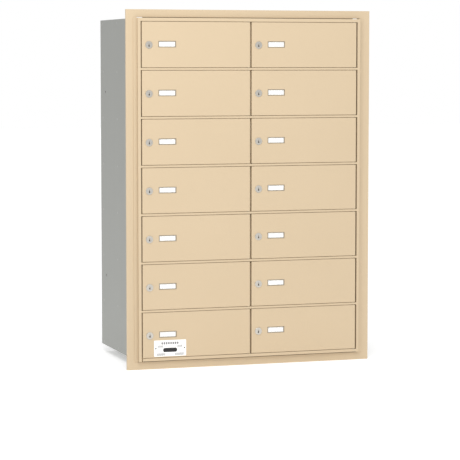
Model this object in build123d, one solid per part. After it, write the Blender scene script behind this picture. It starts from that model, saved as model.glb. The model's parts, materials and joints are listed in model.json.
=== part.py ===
"""Recessed wall mailbox unit, loaded from the rear: fourteen locking doors in an aluminium box.

The front faces -Y, +X is to the right and +Z is up. The origin is at the middle of the unit's width
and depth, level with the lowest edge of the trim. All sizes are in millimetres.
"""

import os
from build123d import *

# Doors and the spaces around them
ROWS = 7
DOOR_WIDTH = 311.6
DOOR_HEIGHT = 124.85
DOOR_THICKNESS = 3.2
DOOR_EDGE_RADIUS = 0.6
MIDDLE_GAP = 5.0
LOCK_SIDE_GAP = 3.2
HINGE_SIDE_GAP = 4.0
DOOR_GAP_Z = 1.5
RIB_WIDTH = 2.0
RIB_DEPTH = 4.0

# Hinges: one long rod for each column, through a barrel on every door
HINGE_SETBACK = 6.0
SWING_CLEARANCE = 0.54
BARREL_RADIUS = 2.5
BARREL_CLEARANCE = 0.5
ROD_RADIUS = 1.2
ROD_CLEARANCE = 0.05
ROD_END_INSET = 2.0

# Front frame: cross rails, head and sill, stiles and the mullion
FRAME_PROUD = 10.0
RAIL_HEIGHT = 5.5
HEAD_HEIGHT = 9.0
SILL_RAISE = 1.0
SILL_NOTCH_DEPTH = 6.0
STOP_REACH = 4.0
STOP_THICKNESS = 2.0
STOP_CLEARANCE = 0.4
STOP_END_CLEARANCE = 0.6
CLOSER_SETBACK = 6.0
CLOSER_THICKNESS = 2.0
STILE_FACE = 18.8
STILE_STRIP = 8.4
STILE_STEP = 8.0
STILE_LIP = 2.0
STILE_FRONT_THICKNESS = 3.0
STILE_LEG = 2.0
STILE_FASTENING_LEG = 16.0
STRIKE_DEPTH = 18.0
STRIKE_THICKNESS = 2.0
STRIKE_REACH = 9.0
MULLION_WIDTH = 17.0
MULLION_WALL = 1.6

# Trim: four mitred members that cover the edge of the wall opening
TRIM_FACE = 21.0
TRIM_SHOWN_AT_SIDES = 20.5
TRIM_THICKNESS = 2.5
TRIM_LIP_WIDTH = 2.5
TRIM_LIP_DEPTH = 6.0
TRIM_LEG_THICKNESS = 2.0
TRIM_LEG_DEPTH = 19.0
TRIM_GAP = 2.0
TRIM_EDGE_RADIUS = 1.0
KEY_ARM = 60.0
KEY_THICKNESS = 2.0
KEY_CLEARANCE = 0.5

# Box behind the front: walls, decks and the partition, all of one sheet
BODY_DEPTH = 394.0
SHEET = 1.6
STILE_TO_WALL = 8.3
DECK_SIDE_FLANGE = 15.0
DECK_REAR_FLANGE = 10.0
NOTCH_CLEARANCE = 0.5

# Blind rivets
RIVET_RADIUS = 1.6
RIVET_HEAD_RADIUS = 3.0
RIVET_HEAD_HEIGHT = 0.8
RIVET_TAIL_RADIUS = 2.2
RIVET_TAIL_LENGTH = 2.5
RIVETS_PER_FLANGE = 3
RIVET_END_DISTANCE = 28.0

# Screw holes in the side walls, for the framing around the wall opening
STUD_HOLE_RADIUS = 3.25
STUD_HOLES_FROM_TRIM = 70.0
STUD_HOLES_FROM_REAR = 54.0
STUD_HOLE_ROWS_FROM_ENDS = 1

# Cam locks
LOCK_FROM_DOOR_EDGE = 20.1
LOCK_DROP = 1.0
LOCK_RIM_RADIUS = 10.25
LOCK_RIM_PROUD = 1.5
LOCK_RIM_BEVEL = 0.5
LOCK_CASE_RADIUS = 8.0
LOCK_CASE_FLATS = 14.0
LOCK_HOLE_CLEARANCE = 0.1
NUT_ACROSS_FLATS = 22.0
NUT_THICKNESS = 3.5
PLUG_RADIUS = 5.6
PLUG_CLEARANCE = 0.05
PLUG_RECESS = 0.3
KEYWAY_WIDTH = 1.8
KEYWAY_WIDE = 3.2
KEYWAY_TOP = 3.6
KEYWAY_STEP = 0.6
KEYWAY_BOTTOM = 4.6
KEYWAY_DEPTH = 12.0
CAM_THICKNESS = 2.4
CAM_WIDTH = 12.0
CAM_PAST_DOOR_EDGE = 0.1
CAM_SEAT_RADIUS = 4.0
CAM_SEAT_FLATS = 6.0
CAM_CLEARANCE = 0.05
CAM_BEHIND_STRIKE = 0.8
CAM_SCREW_RADIUS = 1.5
CAM_SCREW_LENGTH = 8.0
CAM_SCREW_HEAD_RADIUS = 3.8
CAM_SCREW_HEAD_HEIGHT = 2.2

# Name-card window in each door
WINDOW_WIDTH = 50.8
WINDOW_HEIGHT = 17.5
WINDOW_CORNER_RADIUS = 1.0
WINDOW_FROM_DOOR_EDGE = 72.2
WINDOW_RAISE = 1.2

# Label plate on the bottom left door
LABEL_WIDTH = 92.5
LABEL_HEIGHT = 45.0
LABEL_THICKNESS = 0.6
LABEL_CORNER_RADIUS = 2.0
LABEL_FROM_DOOR_EDGE = 78.2
LABEL_ABOVE_DOOR_FOOT = 2.4
LABEL_PIN_RADIUS = 1.2
LABEL_PIN_HEAD_RADIUS = 2.0
LABEL_PIN_HEAD_HEIGHT = 0.6
LABEL_PIN_INSET = 5.0

# The hinge axis lies just far enough in from the door's edge for its front corner to swing past
# the next door or the stile. The rails are just deep enough to keep the mullion off the barrels and
# off the edge of the door that swings inwards behind the axis.
SWING_ROOM = min(MIDDLE_GAP, HINGE_SIDE_GAP) - SWING_CLEARANCE
HINGE_INSET = (HINGE_SETBACK**2 - SWING_ROOM**2) / (2 * SWING_ROOM)
RAIL_DEPTH = HINGE_SETBACK + max(BARREL_RADIUS, HINGE_INSET) + BARREL_CLEARANCE
CAM_REACH = LOCK_FROM_DOOR_EDGE + CAM_PAST_DOOR_EDGE

# Places worked out from the sizes above
PITCH_Z = DOOR_HEIGHT + RAIL_HEIGHT + 2 * DOOR_GAP_Z
STILE_X = DOOR_WIDTH + (LOCK_SIDE_GAP + MIDDLE_GAP + HINGE_SIDE_GAP) / 2
FRAME_X = STILE_X + STILE_FACE
TRIM_X = FRAME_X + TRIM_SHOWN_AT_SIDES
WALL_X = STILE_X + STILE_TO_WALL
DECK_X = WALL_X - SHEET
PARTITION_X = SHEET / 2
STRIKE_X = STILE_X - STRIKE_REACH

FRAME_FOOT = TRIM_FACE + TRIM_GAP
FIRST_DOOR_FOOT = FRAME_FOOT + HEAD_HEIGHT + DOOR_GAP_Z
FRAME_TOP = FIRST_DOOR_FOOT + ROWS * PITCH_Z - RAIL_HEIGHT - DOOR_GAP_Z + HEAD_HEIGHT
TRIM_TOP = FRAME_TOP + TRIM_GAP + TRIM_FACE

RELIEF = max(LOCK_RIM_PROUD, LABEL_THICKNESS + LABEL_PIN_HEAD_HEIGHT)
FRONT_Y = RELIEF - (BODY_DEPTH + FRAME_PROUD + RELIEF) / 2
TRIM_Y = FRONT_Y + FRAME_PROUD
REAR_Y = TRIM_Y + BODY_DEPTH
RAIL_BACK_Y = FRONT_Y + RAIL_DEPTH
STRIKE_Y = FRONT_Y + STRIKE_DEPTH
FASTENING_END_Y = STRIKE_Y + STILE_FASTENING_LEG
NOTCH_Y = FASTENING_END_Y + NOTCH_CLEARANCE
HINGE_Y = FRONT_Y + HINGE_SETBACK
CAM_Y = STRIKE_Y + CAM_BEHIND_STRIKE

COLUMNS = {"left": -STILE_X + LOCK_SIDE_GAP, "right": STILE_X - HINGE_SIDE_GAP - DOOR_WIDTH}


def block(x0, x1, y0, y1, z0, z1):
    """A rectangular solid between two opposite corners."""
    centre = Pos((x0 + x1) / 2, (y0 + y1) / 2, (z0 + z1) / 2)
    return centre * Box(x1 - x0, y1 - y0, z1 - z0)


def rod_x(x0, x1, y, z, radius):
    """A round bar along X."""
    return Pos((x0 + x1) / 2, y, z) * Rot(0, 90, 0) * Cylinder(radius, abs(x1 - x0))


def rod_y(x, y0, y1, z, radius):
    """A round bar along Y."""
    return Pos(x, (y0 + y1) / 2, z) * Rot(90, 0, 0) * Cylinder(radius, y1 - y0)


def rod_z(x, y, z0, z1, radius):
    """A round bar along Z."""
    return Pos(x, y, (z0 + z1) / 2) * Cylinder(radius, z1 - z0)


def upright(points, z0, z1):
    """A section drawn in X and Y, extruded upwards."""
    return Pos(0, 0, z0) * extrude(Polygon(*points, align=None), z1 - z0)


def plate(points, y0, y1):
    """An outline drawn in X and Z, from y0 back to y1."""
    return Pos(0, y1, 0) * Rot(90, 0, 0) * extrude(Polygon(*points, align=None), y1 - y0)


def group(pieces):
    """Separate solids kept together under one name."""
    return Compound([solid for piece in pieces for solid in piece.solids()])


def on_right(shape):
    """The mirror image of a left-hand piece."""
    return mirror(shape, about=Plane.YZ)


def at_top(shape):
    """The mirror image of a bottom piece, about the unit's mid height."""
    return mirror(shape, about=Plane.XY.offset(TRIM_TOP / 2))


def door_foot(row):
    """Height of the lower edge of a door, where row 1 is the top row."""
    return FIRST_DOOR_FOOT + (ROWS - row) * PITCH_Z


def row_middle(row):
    return door_foot(row) + DOOR_HEIGHT / 2


def rail_middles():
    """Heights of the cross rails between the rows, which are also the heights of the shelves."""
    return [door_foot(row) - DOOR_GAP_Z - RAIL_HEIGHT / 2 for row in range(1, ROWS)]


def hinge_x(door_x):
    """Place of the hinge axis of the door whose left edge is at door_x."""
    return door_x + DOOR_WIDTH - HINGE_INSET


# Trim


def trim_bottom():
    face = [
        (-TRIM_X, 0),
        (TRIM_X, 0),
        (TRIM_X - TRIM_FACE, TRIM_FACE),
        (-TRIM_X + TRIM_FACE, TRIM_FACE),
    ]
    member = plate(face, TRIM_Y, TRIM_Y + TRIM_THICKNESS)
    lip_end = TRIM_X - TRIM_LIP_WIDTH
    lip = [(-TRIM_X, 0), (TRIM_X, 0), (lip_end, TRIM_LIP_WIDTH), (-lip_end, TRIM_LIP_WIDTH)]
    member += plate(lip, TRIM_Y, TRIM_Y + TRIM_LIP_DEPTH)
    leg_end = TRIM_X - TRIM_FACE
    leg_foot = TRIM_FACE - TRIM_LEG_THICKNESS
    member += block(-leg_end, leg_end, TRIM_Y, TRIM_Y + TRIM_LEG_DEPTH, leg_foot, TRIM_FACE)
    outer_edge = member.edges().filter_by(Axis.X).group_by(Axis.Z)[0].sort_by(Axis.Y)[0]
    return fillet(outer_edge, TRIM_EDGE_RADIUS)


def trim_left():
    inner = -TRIM_X + TRIM_FACE
    top = TRIM_TOP - TRIM_FACE
    face = [
        (-TRIM_X, 0),
        (inner, TRIM_FACE),
        (-WALL_X, TRIM_FACE),
        (-WALL_X, top),
        (inner, top),
        (-TRIM_X, TRIM_TOP),
    ]
    member = plate(face, TRIM_Y, TRIM_Y + TRIM_THICKNESS)
    lip_x = -TRIM_X + TRIM_LIP_WIDTH
    lip = [
        (-TRIM_X, 0),
        (lip_x, TRIM_LIP_WIDTH),
        (lip_x, TRIM_TOP - TRIM_LIP_WIDTH),
        (-TRIM_X, TRIM_TOP),
    ]
    member += plate(lip, TRIM_Y, TRIM_Y + TRIM_LIP_DEPTH)
    leg_x = -WALL_X - TRIM_LEG_THICKNESS
    member += block(leg_x, -WALL_X, TRIM_Y, TRIM_Y + TRIM_LEG_DEPTH, TRIM_FACE, top)
    outer_edge = member.edges().filter_by(Axis.Z).group_by(Axis.X)[0].sort_by(Axis.Y)[0]
    member = fillet(outer_edge, TRIM_EDGE_RADIUS)
    return member - frame_rivet_holes()


def corner_keys():
    """Flat L-shaped keys behind the mitres, pressed in between the lips and the legs."""
    near = TRIM_LIP_WIDTH + KEY_CLEARANCE
    far = TRIM_FACE - TRIM_LEG_THICKNESS - KEY_CLEARANCE
    reach = near + KEY_ARM
    steps = [(near, near), (reach, near), (reach, far), (far, far), (far, reach), (near, reach)]
    outline = [(-TRIM_X + across, up) for across, up in steps]
    back = TRIM_Y + TRIM_THICKNESS
    key = plate(outline, back, back + KEY_THICKNESS)
    pair = [key, on_right(key)]
    return group(pair + [at_top(one) for one in pair])


# Front frame


def stile_left():
    """Extruded edge post: a strip beside the doors whose lip overhangs a band set back beside the
    trim, a deep leg, the strike for the cams and the fastening leg."""
    step_x = -STILE_X - STILE_STRIP
    under_x = step_x + STILE_LIP
    band_y = FRONT_Y + STILE_STEP
    web_y = FRONT_Y + STILE_FRONT_THICKNESS
    strike_front = STRIKE_Y - STRIKE_THICKNESS
    section = [
        (-FRAME_X, band_y),
        (under_x, band_y),
        (under_x, web_y),
        (step_x, web_y),
        (step_x, FRONT_Y),
        (-STILE_X, FRONT_Y),
        (-STILE_X, strike_front),
        (-STRIKE_X, strike_front),
        (-STRIKE_X, STRIKE_Y),
        (-DECK_X + STILE_LEG, STRIKE_Y),
        (-DECK_X + STILE_LEG, FASTENING_END_Y),
        (-DECK_X, FASTENING_END_Y),
        (-DECK_X, strike_front),
        (-STILE_X - STILE_LEG, strike_front),
        (-STILE_X - STILE_LEG, web_y),
        (under_x + STILE_LEG, web_y),
        (under_x + STILE_LEG, TRIM_Y),
        (-FRAME_X, TRIM_Y),
    ]
    return upright(section, FRAME_FOOT, FRAME_TOP) - frame_rivet_holes()


def centre_mullion():
    """Rectangular tube behind the gap between the two columns of doors."""
    half = MULLION_WIDTH / 2
    foot = FRAME_FOOT + SHEET
    top = FRAME_TOP - SHEET
    tube = block(-half, half, RAIL_BACK_Y, STRIKE_Y, foot, top)
    bore_x = half - MULLION_WALL
    bore_y0 = RAIL_BACK_Y + MULLION_WALL
    return tube - block(-bore_x, bore_x, bore_y0, STRIKE_Y - MULLION_WALL, foot, top)


def rail(z0, z1):
    """One cross rail from stile to stile, drilled for the hinge rods."""
    bar = block(-STILE_X, STILE_X, FRONT_Y, RAIL_BACK_Y, z0, z1)
    return bar - [rod_z(hinge_x(x), HINGE_Y, z0, z1, ROD_RADIUS + ROD_CLEARANCE) for x in COLUMNS.values()]


def sill(top):
    """The lowest rail, which stands clear of the trim and of the stile on the lock side."""
    notch_x = -STILE_X + LOCK_SIDE_GAP
    notch = block(-STILE_X, notch_x, FRONT_Y, FRONT_Y + SILL_NOTCH_DEPTH, FRAME_FOOT, top)
    return rail(FRAME_FOOT + SILL_RAISE, top) - notch


def door_stops(z0, z1):
    """Strips behind one edge of a row of doors, each between a door's rib and its hinge barrel."""
    y0 = FRONT_Y + DOOR_THICKNESS + STOP_CLEARANCE
    y1 = y0 + STOP_THICKNESS
    inset = BARREL_RADIUS + STOP_END_CLEARANCE
    return [
        block(x + RIB_WIDTH + STOP_END_CLEARANCE, hinge_x(x) - inset, y0, y1, z0, z1)
        for x in COLUMNS.values()
    ]


def trim_closers():
    """Strips behind the trim that close the gaps below the sill and above the head."""
    end = STRIKE_X - NOTCH_CLEARANCE
    y0 = TRIM_Y + CLOSER_SETBACK
    closer = block(-end, end, y0, y0 + CLOSER_THICKNESS, TRIM_FACE, FRAME_FOOT)
    return [closer, at_top(closer)]


def cross_rails():
    """Head, sill and the rails between the rows, with the stops and closers fixed to them."""
    half = RAIL_HEIGHT / 2
    head_foot = FRAME_TOP - HEAD_HEIGHT
    sill_top = FRAME_FOOT + HEAD_HEIGHT
    pieces = [rail(z - half, z + half) for z in rail_middles()]
    pieces += [rail(head_foot, FRAME_TOP), sill(sill_top)]
    for edge in [z - half for z in rail_middles()] + [head_foot]:
        pieces += door_stops(edge - STOP_REACH, edge)
    for edge in [z + half for z in rail_middles()] + [sill_top]:
        pieces += door_stops(edge, edge + STOP_REACH)
    return group(pieces + trim_closers())


def hinge_rods():
    foot = FRAME_FOOT + ROD_END_INSET
    top = FRAME_TOP - ROD_END_INSET
    return group([rod_z(hinge_x(x), HINGE_Y, foot, top, ROD_RADIUS) for x in COLUMNS.values()])


# Box


def deck_rivet_places():
    """Where the rivets stand along the depth of a deck flange."""
    first = NOTCH_Y + RIVET_END_DISTANCE
    step = (REAR_Y - RIVET_END_DISTANCE - first) / (RIVETS_PER_FLANGE - 1)
    return [first + step * number for number in range(RIVETS_PER_FLANGE)]


def deck_undersides():
    """Heights of the undersides of the shelves, and of the top panel."""
    return [middle - SHEET / 2 for middle in rail_middles()] + [FRAME_TOP - SHEET]


def frame_rivet_places():
    """Rivets through trim leg, side wall and stile: one at the middle height of each row."""
    y = STRIKE_Y + STILE_FASTENING_LEG / 4
    return [(y, row_middle(row)) for row in range(1, ROWS + 1)]


def deck_side_rivet_places(undersides):
    return [(y, z - DECK_SIDE_FLANGE / 2) for y in deck_rivet_places() for z in undersides]


def floor_rivet_places():
    """The bottom panel's side flanges turn up, so its rivets are above it."""
    return [(y, FRAME_FOOT + SHEET + DECK_SIDE_FLANGE / 2) for y in deck_rivet_places()]


def holes_along_x(places, x0, x1):
    return [rod_x(x0, x1, y, z, RIVET_RADIUS) for y, z in places]


def frame_rivet_holes():
    return holes_along_x(frame_rivet_places(), -FRAME_X, -STRIKE_X)


def stud_hole_places():
    ends = (TRIM_Y + STUD_HOLES_FROM_TRIM, REAR_Y - STUD_HOLES_FROM_REAR)
    rows = (1 + STUD_HOLE_ROWS_FROM_ENDS, ROWS - STUD_HOLE_ROWS_FROM_ENDS)
    return [(y, row_middle(row)) for y in ends for row in rows]


def side_wall_left():
    sheet = block(-WALL_X, -DECK_X, TRIM_Y, REAR_Y, FRAME_FOOT, FRAME_TOP)
    riveted = frame_rivet_places() + deck_side_rivet_places(deck_undersides()) + floor_rivet_places()
    sheet -= holes_along_x(riveted, -WALL_X, -DECK_X)
    studs = [rod_x(-WALL_X, -DECK_X, y, z, STUD_HOLE_RADIUS) for y, z in stud_hole_places()]
    return sheet - studs


def wide_deck(z, turn):
    """Top or bottom panel: a full-width sheet at z whose side flanges turn up (1) or down (-1)."""
    tongue = STRIKE_X - NOTCH_CLEARANCE
    outline = [
        (-DECK_X, NOTCH_Y),
        (-tongue, NOTCH_Y),
        (-tongue, RAIL_BACK_Y),
        (tongue, RAIL_BACK_Y),
        (tongue, NOTCH_Y),
        (DECK_X, NOTCH_Y),
        (DECK_X, REAR_Y),
        (-DECK_X, REAR_Y),
    ]
    deck = upright(outline, z, z + SHEET)
    edges = sorted((z + SHEET / 2, z + SHEET / 2 + turn * (DECK_SIDE_FLANGE + SHEET / 2)))
    flange = block(-DECK_X, -DECK_X + SHEET, NOTCH_Y, REAR_Y, *edges)
    return deck + flange + on_right(flange)


def top_panel():
    panel = wide_deck(FRAME_TOP - SHEET, -1)
    return panel - holes_along_x(deck_side_rivet_places([FRAME_TOP - SHEET]), -DECK_X, DECK_X)


def bottom_panel():
    panel = wide_deck(FRAME_FOOT, 1)
    return panel - holes_along_x(floor_rivet_places(), -DECK_X, DECK_X)


def centre_partition():
    sheet = block(
        -PARTITION_X,
        PARTITION_X,
        STRIKE_Y,
        REAR_Y,
        FRAME_FOOT + SHEET,
        FRAME_TOP - SHEET,
    )
    places = deck_side_rivet_places(deck_undersides()[:-1])
    return sheet - holes_along_x(places, -PARTITION_X, PARTITION_X)


def shelf_left(underside):
    """One shelf: notched round the stile and the mullion, with its sides and rear edge turned down."""
    tongue = -STRIKE_X + NOTCH_CLEARANCE
    mullion = -MULLION_WIDTH / 2
    outline = [
        (-DECK_X, NOTCH_Y),
        (tongue, NOTCH_Y),
        (tongue, RAIL_BACK_Y),
        (mullion, RAIL_BACK_Y),
        (mullion, STRIKE_Y),
        (-PARTITION_X, STRIKE_Y),
        (-PARTITION_X, REAR_Y),
        (-DECK_X, REAR_Y),
    ]
    top = underside + SHEET
    side_foot = underside - DECK_SIDE_FLANGE
    shelf = upright(outline, underside, top)
    shelf += block(-DECK_X, -DECK_X + SHEET, NOTCH_Y, REAR_Y, side_foot, top)
    shelf += block(-PARTITION_X - SHEET, -PARTITION_X, NOTCH_Y, REAR_Y, side_foot, top)
    rear_foot = underside - DECK_REAR_FLANGE
    shelf += block(-DECK_X, -PARTITION_X, REAR_Y - SHEET, REAR_Y, rear_foot, top)
    return shelf - holes_along_x(deck_side_rivet_places([underside]), -DECK_X, -PARTITION_X)


def shelves():
    left = [shelf_left(underside) for underside in deck_undersides()[:-1]]
    return group(left + [on_right(shelf) for shelf in left])


def rivet(x, y, z, grip):
    """One set blind rivet, with its head to the left of x and its tail beyond the grip."""
    head = rod_x(x - RIVET_HEAD_HEIGHT, x, y, z, RIVET_HEAD_RADIUS)
    shank = rod_x(x, x + grip, y, z, RIVET_RADIUS)
    tail = rod_x(x + grip, x + grip + RIVET_TAIL_LENGTH, y, z, RIVET_TAIL_RADIUS)
    return head + shank + tail


def rivets():
    """All blind rivets of the box and the trim."""
    trim_grip = TRIM_LEG_THICKNESS + SHEET + STILE_LEG
    left = [rivet(-WALL_X - TRIM_LEG_THICKNESS, y, z, trim_grip) for y, z in frame_rivet_places()]
    decks = deck_side_rivet_places(deck_undersides()) + floor_rivet_places()
    left += [rivet(-WALL_X, y, z, 2 * SHEET) for y, z in decks]
    inner = deck_side_rivet_places(deck_undersides()[:-1])
    middle = [rivet(-PARTITION_X - SHEET, y, z, 3 * SHEET) for y, z in inner]
    return group(left + [on_right(one) for one in left] + middle)


# Doors and locks


def lock_centre(door_x, row):
    return door_x + LOCK_FROM_DOOR_EDGE, row_middle(row) - LOCK_DROP


def double_d(x, y0, y1, z, radius, flats):
    """A round bar along Y with two upright flats."""
    return rod_y(x, y0, y1, z, radius) & block(x - flats / 2, x + flats / 2, y0, y1, z - radius, z + radius)


def label_pin_places(door_x, row):
    x = door_x + LABEL_FROM_DOOR_EDGE
    z = door_foot(row) + LABEL_ABOVE_DOOR_FOOT + LABEL_HEIGHT / 2
    reach = LABEL_WIDTH / 2 - LABEL_PIN_INSET
    return [(x - reach, z), (x + reach, z)]


def door(door_x, row):
    """Door panel with its window, lock hole, stiffening rib and integral hinge barrel."""
    foot = door_foot(row)
    top = foot + DOOR_HEIGHT
    back = FRONT_Y + DOOR_THICKNESS
    right = door_x + DOOR_WIDTH
    panel = block(door_x, right, FRONT_Y, back, foot, top)
    panel = fillet(panel.faces().sort_by(Axis.Y)[0].edges(), DOOR_EDGE_RADIUS)
    panel += block(door_x, door_x + RIB_WIDTH, back, back + RIB_DEPTH, foot, top)
    axis_x = hinge_x(door_x)
    panel += block(axis_x - BARREL_RADIUS, right, back, HINGE_Y, foot, top)
    panel += rod_z(axis_x, HINGE_Y, foot, top, BARREL_RADIUS)
    panel -= rod_z(axis_x, HINGE_Y, foot, top, ROD_RADIUS + ROD_CLEARANCE)

    middle = row_middle(row)
    opening = extrude(RectangleRounded(WINDOW_WIDTH, WINDOW_HEIGHT, WINDOW_CORNER_RADIUS), DOOR_THICKNESS)
    window_x = door_x + WINDOW_FROM_DOOR_EDGE
    panel -= Pos(window_x, back, middle + WINDOW_RAISE) * Rot(90, 0, 0) * opening

    x, z = lock_centre(door_x, row)
    hole_radius = LOCK_CASE_RADIUS + LOCK_HOLE_CLEARANCE
    hole_flats = LOCK_CASE_FLATS + 2 * LOCK_HOLE_CLEARANCE
    panel -= double_d(x, FRONT_Y, back, z, hole_radius, hole_flats)
    return panel


def labelled_door(door_x, row):
    """The door that carries the label plate, drilled for its two pins."""
    back = FRONT_Y + DOOR_THICKNESS
    pins = label_pin_places(door_x, row)
    return door(door_x, row) - [rod_y(x, FRONT_Y, back, z, LABEL_PIN_RADIUS) for x, z in pins]


def lock(door_x, row):
    """Lock case with its rim, and the hexagonal nut that holds it in the door."""
    x, z = lock_centre(door_x, row)
    face = FRONT_Y - LOCK_RIM_PROUD
    end = CAM_Y - CAM_BEHIND_STRIKE
    rim = rod_y(x, face, FRONT_Y, z, LOCK_RIM_RADIUS)
    rim = chamfer(rim.faces().sort_by(Axis.Y)[0].edges(), LOCK_RIM_BEVEL)
    case = rim + double_d(x, FRONT_Y, end, z, LOCK_CASE_RADIUS, LOCK_CASE_FLATS)
    case -= rod_y(x, face, end, z, PLUG_RADIUS + PLUG_CLEARANCE)

    hexagon = RegularPolygon(NUT_ACROSS_FLATS / 2, 6, major_radius=False)
    seat = FRONT_Y + DOOR_THICKNESS
    nut = Pos(x, seat + NUT_THICKNESS, z) * Rot(90, 0, 0) * extrude(hexagon, NUT_THICKNESS)
    nut -= rod_y(x, seat, seat + NUT_THICKNESS, z, LOCK_CASE_RADIUS)
    return group([case, nut])


def lock_plug(door_x, row):
    """Turning plug with its keyway, the cam that hangs down while unlocked, and the cam's screw."""
    x, z = lock_centre(door_x, row)
    face = FRONT_Y - LOCK_RIM_PROUD + PLUG_RECESS
    cam_back = CAM_Y + CAM_THICKNESS
    plug = rod_y(x, face, CAM_Y, z, PLUG_RADIUS)
    plug += double_d(x, CAM_Y, cam_back, z, CAM_SEAT_RADIUS, CAM_SEAT_FLATS)
    narrow = KEYWAY_WIDTH / 2
    wide = KEYWAY_WIDE / 2
    plug -= block(x - narrow, x + narrow, face, face + KEYWAY_DEPTH, z - KEYWAY_BOTTOM, z + KEYWAY_TOP)
    plug -= block(x - wide, x + wide, face, face + KEYWAY_DEPTH, z - KEYWAY_BOTTOM, z - KEYWAY_STEP)
    plug -= rod_y(x, cam_back - CAM_SCREW_LENGTH, cam_back, z, CAM_SCREW_RADIUS)

    half = CAM_WIDTH / 2
    cam = rod_y(x, CAM_Y, cam_back, z, half)
    cam += block(x - half, x + half, CAM_Y, cam_back, z - CAM_REACH, z)
    seat = (CAM_SEAT_RADIUS + CAM_CLEARANCE, CAM_SEAT_FLATS + 2 * CAM_CLEARANCE)
    cam -= double_d(x, CAM_Y, cam_back, z, *seat)

    head_end = cam_back + CAM_SCREW_HEAD_HEIGHT
    screw = rod_y(x, cam_back, head_end, z, CAM_SCREW_HEAD_RADIUS)
    screw += rod_y(x, cam_back - CAM_SCREW_LENGTH, cam_back, z, CAM_SCREW_RADIUS)
    return group([plug, cam, screw])


def label_plate(door_x, row):
    """Thin enamelled plate with rounded corners, and the two drive pins that hold it."""
    x = door_x + LABEL_FROM_DOOR_EDGE
    z = door_foot(row) + LABEL_ABOVE_DOOR_FOOT + LABEL_HEIGHT / 2
    outline = RectangleRounded(LABEL_WIDTH, LABEL_HEIGHT, LABEL_CORNER_RADIUS)
    sheet = Pos(x, FRONT_Y, z) * Rot(90, 0, 0) * extrude(outline, LABEL_THICKNESS)
    surface = FRONT_Y - LABEL_THICKNESS
    pins = []
    for pin_x, pin_z in label_pin_places(door_x, row):
        sheet -= rod_y(pin_x, surface, FRONT_Y, pin_z, LABEL_PIN_RADIUS)
        pin = rod_y(pin_x, surface - LABEL_PIN_HEAD_HEIGHT, surface, pin_z, LABEL_PIN_HEAD_RADIUS)
        pin += rod_y(pin_x, surface, FRONT_Y + DOOR_THICKNESS, pin_z, LABEL_PIN_RADIUS)
        pins.append(pin)
    return group([sheet] + pins)


def cabinet_pieces():
    """Everything that stays still, by name."""
    wall = side_wall_left()
    stile = stile_left()
    side = trim_left()
    bottom = trim_bottom()
    return {
        "trim_bottom": bottom,
        "trim_top": at_top(bottom),
        "trim_left": side,
        "trim_right": on_right(side),
        "corner_keys": corner_keys(),
        "stile_left": stile,
        "stile_right": on_right(stile),
        "centre_mullion": centre_mullion(),
        "cross_rails": cross_rails(),
        "hinge_rods": hinge_rods(),
        "side_wall_left": wall,
        "side_wall_right": on_right(wall),
        "top_panel": top_panel(),
        "bottom_panel": bottom_panel(),
        "centre_partition": centre_partition(),
        "shelves": shelves(),
        "rivets": rivets(),
    }


def door_pieces():
    """The doors with their locks, by name, and the label plate on the bottom left door."""
    pieces = {}
    for column, door_x in COLUMNS.items():
        for row in range(1, ROWS + 1):
            labelled = column == "left" and row == ROWS
            build = labelled_door if labelled else door
            pieces[f"door_{column}_{row}"] = build(door_x, row)
            pieces[f"lock_{column}_{row}"] = lock(door_x, row)
            pieces[f"lock_plug_{column}_{row}"] = lock_plug(door_x, row)
    pieces["label_plate"] = label_plate(COLUMNS["left"], ROWS)
    return pieces


os.makedirs("parts", exist_ok=True)
for name, shape in (cabinet_pieces() | door_pieces()).items():
    export_step(shape, f"parts/{name}.step")
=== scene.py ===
import json
import math
import bmesh
import bpy
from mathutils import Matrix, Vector

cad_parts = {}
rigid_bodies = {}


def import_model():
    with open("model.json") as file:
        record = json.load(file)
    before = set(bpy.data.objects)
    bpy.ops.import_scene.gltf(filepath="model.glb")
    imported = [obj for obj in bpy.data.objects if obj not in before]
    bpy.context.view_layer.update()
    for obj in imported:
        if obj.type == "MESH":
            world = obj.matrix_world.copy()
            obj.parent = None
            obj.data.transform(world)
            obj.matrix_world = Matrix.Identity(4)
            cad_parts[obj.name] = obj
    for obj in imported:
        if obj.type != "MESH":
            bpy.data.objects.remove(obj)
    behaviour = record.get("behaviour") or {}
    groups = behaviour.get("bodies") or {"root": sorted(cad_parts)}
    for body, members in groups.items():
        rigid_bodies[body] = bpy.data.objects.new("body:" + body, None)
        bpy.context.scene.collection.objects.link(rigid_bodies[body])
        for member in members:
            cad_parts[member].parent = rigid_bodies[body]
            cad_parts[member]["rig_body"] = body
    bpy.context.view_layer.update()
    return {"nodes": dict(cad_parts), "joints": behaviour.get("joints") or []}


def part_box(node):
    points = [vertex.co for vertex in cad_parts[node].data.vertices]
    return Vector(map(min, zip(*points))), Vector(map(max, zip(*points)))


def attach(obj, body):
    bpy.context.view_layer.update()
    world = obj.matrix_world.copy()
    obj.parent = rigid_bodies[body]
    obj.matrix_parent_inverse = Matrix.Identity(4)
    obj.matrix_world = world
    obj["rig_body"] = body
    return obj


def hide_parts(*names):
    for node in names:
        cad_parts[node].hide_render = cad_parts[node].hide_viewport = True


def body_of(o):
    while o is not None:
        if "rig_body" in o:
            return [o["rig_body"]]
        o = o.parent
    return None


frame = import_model()

# Side walls
# Two plain sheets of mill-finish aluminium, 1.6 mm thick, sheared and drilled, that stand from the
# trim to the open back. Screws through their holes hold the unit to the framing in the wall.
WALL_GREY = "ABACA8"
WALL_GREY_WORN = "A1A29E"
ROLLING_STREAK_WIDTH = 0.004
ROLLING_STREAK_LENGTH = 0.5
HANDLING_MARK_SIZE = 0.09


def linear(hex_colour):
    """An sRGB colour written as hex, as the linear colour that a shader socket takes."""
    shares = [int(hex_colour[place:place + 2], 16) / 255 for place in (0, 2, 4)]
    return [s / 12.92 if s <= 0.04045 else ((s + 0.055) / 1.055) ** 2.4 for s in shares] + [1]


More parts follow.
